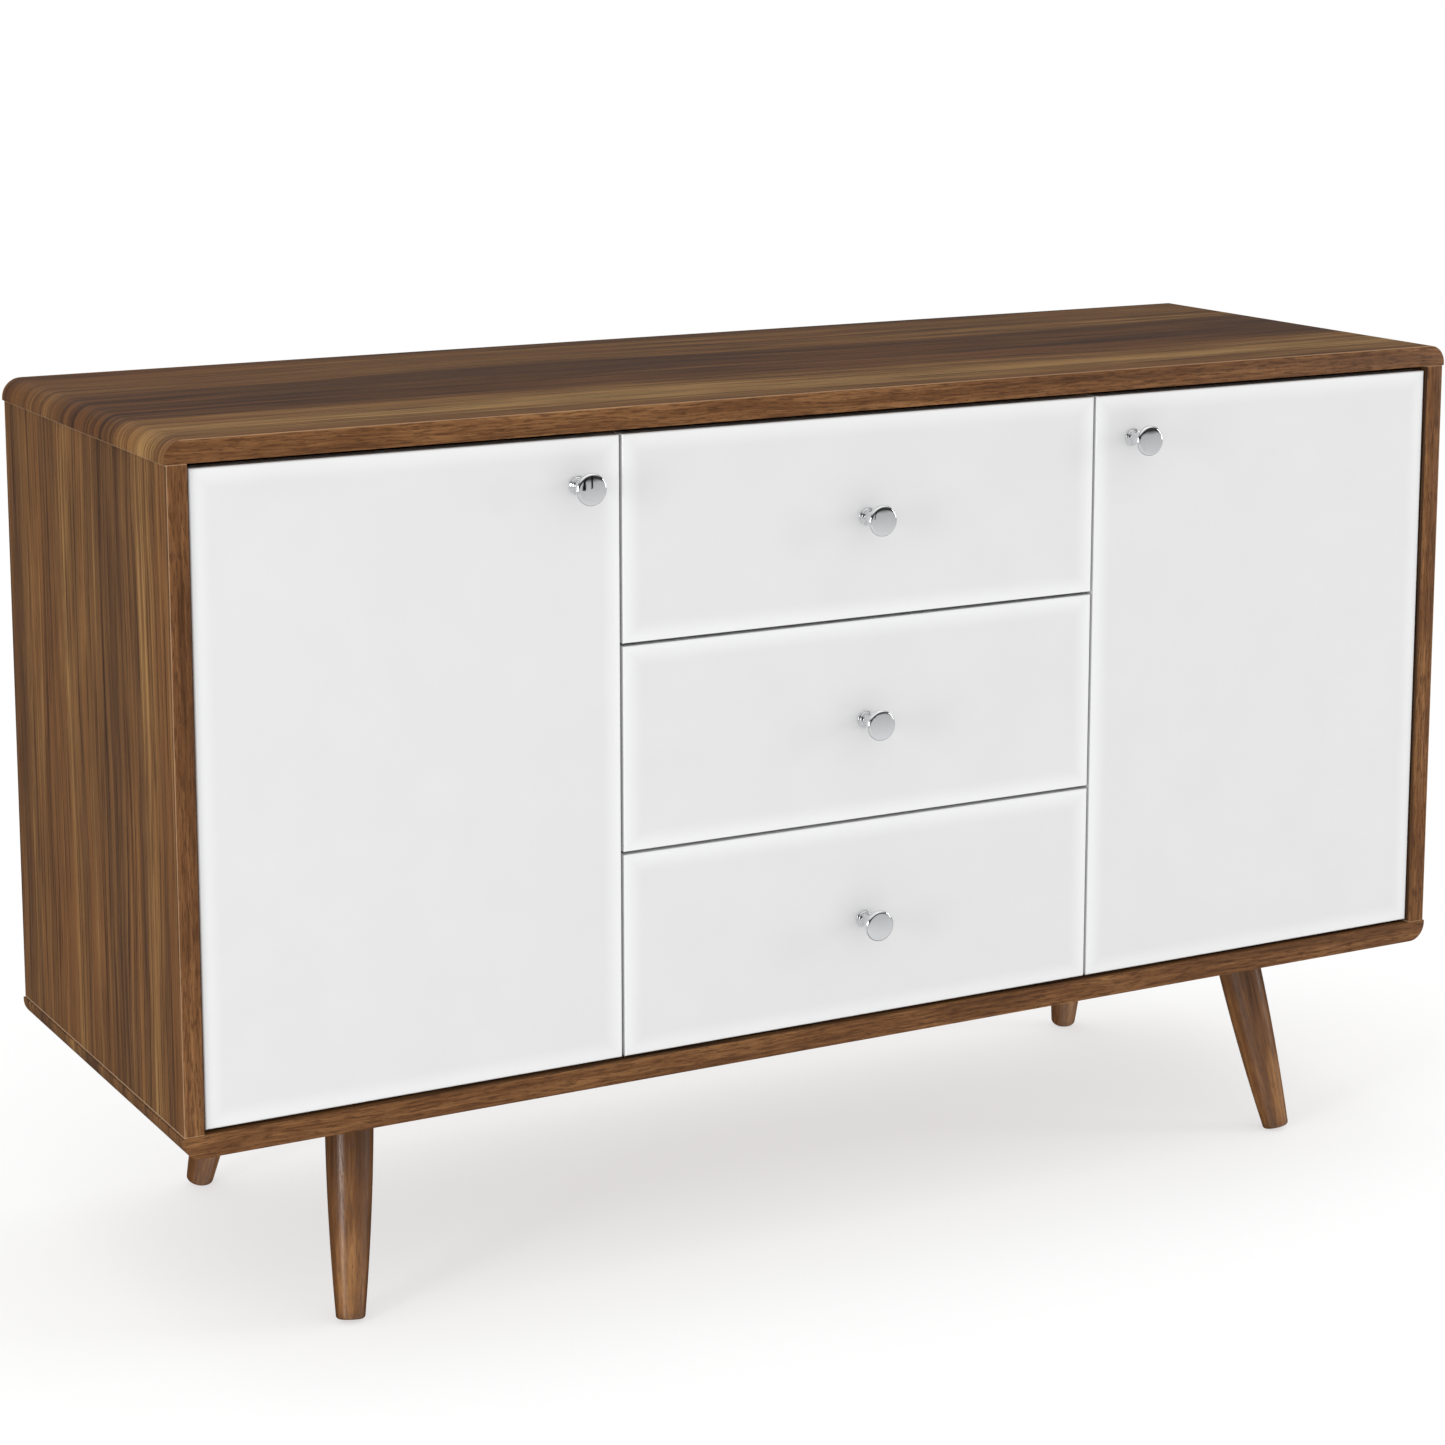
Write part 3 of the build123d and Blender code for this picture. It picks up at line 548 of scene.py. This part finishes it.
def knob_rings(reach, disc_radius):
    """The knob's outline from its seat on the front to the middle of its disc."""
    back = reach - disc_thick
    face = reach - disc_dome
    flat = disc_radius - disc_rim
    rings = [(0.0, base_radius)]
    rings += arc(base_thick - base_lip, base_radius - base_lip, base_lip, 90, 0, lip_steps)
    rings += [(base_thick, step_radius + base_lip / 2), (base_thick + base_lip / 2, step_radius)]
    rings += arc(step_top - base_lip, step_radius - base_lip, base_lip, 90, 0, lip_steps)
    rings += [(step_top, neck_radius + base_lip / 2), (step_top + base_lip / 2, neck_radius)]
    rings += [(reach / 2, neck_radius)]
    for turn in neck_turns:
        angle = math.radians(turn)
        rings.append((back - neck_flare + neck_flare * math.sin(angle),
                      neck_radius + neck_flare * (1 - math.cos(angle))))
    rings += [(back, flat)]
    rings += arc(back + disc_rim, flat, disc_rim, 165, 90, 7)
    rings += arc(face - disc_rim, flat, disc_rim, 90, 6, 10)
    for share in dome_shares:
        rings.append((face + disc_dome * (1 - share ** 2), flat * share))
    return rings


def knob_seat(cad_node):
    """Where a knob's axis meets its front."""
    low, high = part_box(cad_node)
    return Vector(((low.x + high.x) / 2, high.y, (low.z + high.z) / 2))


def turned_knob(cad_node):
    """A knob turned in one piece along -Y, ring by ring from its seat."""
    low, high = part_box(cad_node)
    centre = knob_seat(cad_node)
    rings = knob_rings(high.y - low.y, (high.x - low.x) / 2)
    clear_selection()
    bpy.ops.mesh.primitive_circle_add(vertices=knob_sides, radius=rings[0][1], fill_type="NGON",
                                      location=centre, rotation=(math.radians(90), 0, 0))
    piece = bpy.context.object
    bpy.ops.object.transform_apply(location=True, rotation=True, scale=True)
    bpy.ops.object.mode_set(mode="EDIT")
    bpy.ops.mesh.select_mode(type="FACE")
    bpy.ops.mesh.select_all(action="SELECT")
    for (out, radius), (next_out, next_radius) in zip(rings, rings[1:]):
        bpy.ops.mesh.extrude_region_move(TRANSFORM_OT_translate={"value": (0, out - next_out, 0)})
        grow = next_radius / radius
        middle = (centre.x, centre.y - next_out, centre.z)
        bpy.ops.transform.resize(value=(grow, 1, grow), center_override=middle)
    close_edit()
    return piece


# Materials on the CAD nodes

# How light the print is across a board, from its front edge to its back edge
top_stripes = [(0.00, 0.58), (0.07, 0.68), (0.16, 0.94), (0.22, 0.76), (0.30, 0.62), (0.37, 0.14),
               (0.47, 0.24), (0.56, 0.12), (0.65, 0.24), (0.70, 0.62), (0.78, 0.50), (0.90, 0.60),
               (0.95, 0.36), (1.00, 0.22)]
side_stripes = [(0.00, 0.46), (0.08, 0.44), (0.15, 0.84), (0.20, 0.54), (0.26, 0.38), (0.33, 0.42),
                (0.45, 0.52), (0.54, 0.48), (0.62, 0.68), (0.70, 0.48), (0.80, 0.54), (0.90, 0.58),
                (0.96, 0.44), (1.00, 0.40)]
plain_stripes = [(0.00, 0.40), (0.14, 0.62), (0.24, 0.34), (0.38, 0.54), (0.50, 0.24), (0.62, 0.66),
                 (0.74, 0.46), (0.86, 0.30), (1.00, 0.56)]


def leg_axis(side, end):
    """The foot and top of one leg's axis, side -1 left or 1 right, end -1 front or 1 back."""
    low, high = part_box("bottom_board")
    edge = low.y + leg_inset_edge if end < 0 else high.y - leg_inset_edge
    top = Vector((side * (high.x - leg_inset_end), edge, low.z))
    foot = Vector((top.x + side * leg_run_out, top.y + end * leg_run_front, 0.0))
    return foot, top


def dress(node, material):
    """Gives a CAD piece its material."""
    for slot in nodes[node].material_slots:
        slot.material = material


top_low, top_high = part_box("top_board")
bottom_low, bottom_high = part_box("bottom_board")
under_top = top_low.z
over_bottom = bottom_high.z
raw_beyond = top_high.y - raw_depth
joins = (under_top, over_bottom)

dress("top_board", walnut_laminate("walnut_top", "X", "Y", "Z", top_stripes, raw_beyond))
flat_walnut = walnut_laminate("walnut_along", "X", "Y", "Z", plain_stripes, raw_beyond)
for node in ("bottom_board", "left_shelf", "right_shelf"):
    dress(node, flat_walnut)
upright_walnut = walnut_laminate("walnut_upright", "Z", "Y", "X", side_stripes, raw_beyond, joins, bend=0.045)
for node in ("left_side_panel", "right_side_panel", "left_divider", "right_divider"):
    dress(node, upright_walnut)
dress("back_panels", back_hardboard())
dress("dowels", dowel_beech())

for node, side, end in (("front_left_leg", -1, -1), ("back_left_leg", -1, 1),
                        ("front_right_leg", 1, -1), ("back_right_leg", 1, 1)):
    dress(node, stained_leg("stained_" + node, *leg_axis(side, end)))

for node in ("left_door_panel", "right_door_panel",
             "bottom_drawer_front", "middle_drawer_front", "top_drawer_front"):
    dress(node, white_lacquer("lacquer_" + node, *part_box(node)))

melamine = drawer_melamine()
zinc = metal("zinc_plate", tone(150, 152, 156), tone(186, 188, 190), 0.38, patch=90.0, bare=0.7)
zinc_rail = metal("zinc_rolled", tone(152, 155, 160), tone(194, 196, 198), 0.38, patch=50.0, bare=0.6,
                  along_y=0.03)
nickel = metal("nickel_plate", tone(172, 169, 162), tone(208, 205, 198), 0.26, patch=70.0, bare=0.75)
chrome = metal("chrome_polish", tone(222, 223, 225), tone(234, 235, 236), 0.05, patch=30.0, relief=0.000004)
powder = black_powder_coat()
for name, piece in nodes.items():
    cad_material = piece.material_slots[0].material.name
    if cad_material.startswith("drawer_board"):
        dress(name, melamine)
    elif cad_material.startswith("zinc_steel"):
        dress(name, zinc_rail if "slide" in name else zinc)
    elif cad_material.startswith("nickel_steel"):
        dress(name, nickel)
    elif cad_material.startswith("black_steel"):
        dress(name, powder)
    elif cad_material.startswith("chrome"):
        dress(name, chrome)

# New pieces: edge bands and knobs

band_across = walnut_band("walnut_band_across", "X", "Z", [("Z", top_high.z)])
left_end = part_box("left_side_panel")[0].x
right_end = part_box("right_side_panel")[1].x
band_upright = walnut_band("walnut_band_upright", "Z", "X",
                           [("X", left_end), ("X", right_end), ("Z", under_top), ("Z", over_bottom)])
front_band("top_front_band", "top_board", band_across, round_at=1)
front_band("bottom_front_band", "bottom_board", band_across, round_at=-1)
front_band("left_front_band", "left_side_panel", band_upright)
front_band("right_front_band", "right_side_panel", band_upright)

knobs = [("left_door_knob", "left_door"), ("right_door_knob", "right_door"),
         ("bottom_drawer_knob", "bottom_drawer"), ("middle_drawer_knob", "middle_drawer"),
         ("top_drawer_knob", "top_drawer")]
first_seat = knob_seat("left_door_knob")
first_knob = turned_knob("left_door_knob")
turned = [first_knob]
for cad_node, body in knobs[1:]:
    select_only(first_knob)
    bpy.ops.object.duplicate(linked=False)
    bpy.ops.transform.translate(value=knob_seat(cad_node) - first_seat)
    turned.append(bpy.context.object)
for piece, (cad_node, body) in zip(turned, knobs):
    select_only(piece)
    settle(piece, cad_node.replace("_knob", "_turned_knob"), body, chrome, smooth_to=40)
    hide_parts(cad_node)

# Studio

def studio_floor():
    """A wide pale floor that gives off a little light, and that shiny things don't reflect."""
    clear_selection()
    bpy.ops.mesh.primitive_plane_add(size=floor_size, location=(0, 0, 0))
    floor = bpy.context.object
    floor.name = "studio_floor"
    finish = Finish("pale_floor")
    shade = finish.noise(finish.point(), 3.0, 2.0, 0.5)
    colour = finish.mix(shade, tone(174, 174, 174), tone(176, 176, 176))
    floor.data.materials.append(finish.surface(Base_Color=colour, Roughness=0.9, Specular_IOR_Level=0.0,
                                               Emission_Color=white, Emission_Strength=0.57))
    floor.visible_glossy = False


def soft_light(name, place, aim, size, power):
    """A large lamp at place, turned to aim. size is its width and height, power is in watts."""
    lamp = bpy.data.lights.new(name, "AREA")
    lamp.shape = "RECTANGLE"
    lamp.size = size[0]
    lamp.size_y = size[1]
    lamp.energy = power
    stand = bpy.data.objects.new(name, lamp)
    stand.location = place
    stand.rotation_euler = (Vector(aim) - Vector(place)).to_track_quat("-Z", "Y").to_euler()
    bpy.context.scene.collection.objects.link(stand)


def dark_card(name, place, size):
    """A dark board that only shiny things see, so polished metal has something to reflect."""
    clear_selection()
    bpy.ops.mesh.primitive_plane_add(size=1, location=(0, 0, 0))
    card = bpy.context.object
    card.name = name
    card.scale = (size[0], size[1], 1)
    card.rotation_euler = (Vector(card_aim) - Vector(place)).to_track_quat("Z", "Y").to_euler()
    card.location = place
    bpy.ops.object.transform_apply(location=True, rotation=True, scale=True)
    finish = Finish(name)
    card.data.materials.append(finish.surface(Base_Color=tone(20, 20, 20), Roughness=1.0,
                                              Specular_IOR_Level=0.0))
    card.visible_camera = False
    card.visible_diffuse = False
    card.visible_shadow = False


studio_floor()
soft_light("key_light", place=(-3.1, -1.35, 0.85), aim=(0, 0, 0.4), size=(0.70, 1.5), power=32)
soft_light("top_light", place=(0.3, 0.6, 3.6), aim=(0, 0.3, 0.4), size=(4.0, 3.0), power=10)
soft_light("side_light", place=(2.6, -1.2, 0.9), aim=(0.4, 0, 0.5), size=(0.5, 1.2), power=13)
dark_card("dark_card_left", place=(-1.5, -2.4, 0.5), size=(0.30, 1.6))
dark_card("dark_card_middle", place=(0.55, -2.8, 0.70), size=(0.16, 1.0))
dark_card("dark_card_right", place=(0.92, -2.7, 0.66), size=(0.10, 0.8))

# The air is plain white, except to shiny things. They see it dark to well above the horizon, white overhead
# and pale grey below the horizon in front.
world = bpy.data.worlds.new("studio_air")
world.use_nodes = True
air = world.node_tree.nodes["Background"]
air.inputs["Strength"].default_value = 1.0
sky = Finish.on_tree(world.node_tree)
direction = sky.add("ShaderNodeTexCoord").out("Generated")
_, away, height = sky.parts(direction)
above = sky.ramp(height, [(0.00, 0.04), (0.40, 0.07), (0.75, 1.0)])
below = sky.ramp(height * -1.0, [(0.00, 0.0), (0.05, 0.50), (0.40, 0.75)])
in_front = sky.step(away * -1.0, -0.10, 0.30)
overhead = sky.mix(in_front, above, sky.mix(1.0, above, below, "ADD"))
shiny = sky.add("ShaderNodeLightPath").out("Is Glossy Ray")
seen = sky.mix(shiny, white, overhead)
world.node_tree.links.new(seen.socket, air.inputs["Color"])
bpy.context.scene.world = world
bpy.context.scene.view_settings.view_transform = "Standard"

camera_data = bpy.data.cameras.new("studio_camera")
camera_data.sensor_width = 36.0
camera_data.lens = 84.89
camera_data.shift_x = 0.0
camera_data.shift_y = -0.15
camera_data.clip_end = 100.0
camera = bpy.data.objects.new("studio_camera", camera_data)
camera.location = (-1.411, -2.5204, 1.0822)
camera.rotation_euler = (math.radians(80.309), 0.0, math.radians(-28.646))
bpy.context.scene.collection.objects.link(camera)
bpy.context.scene.camera = camera
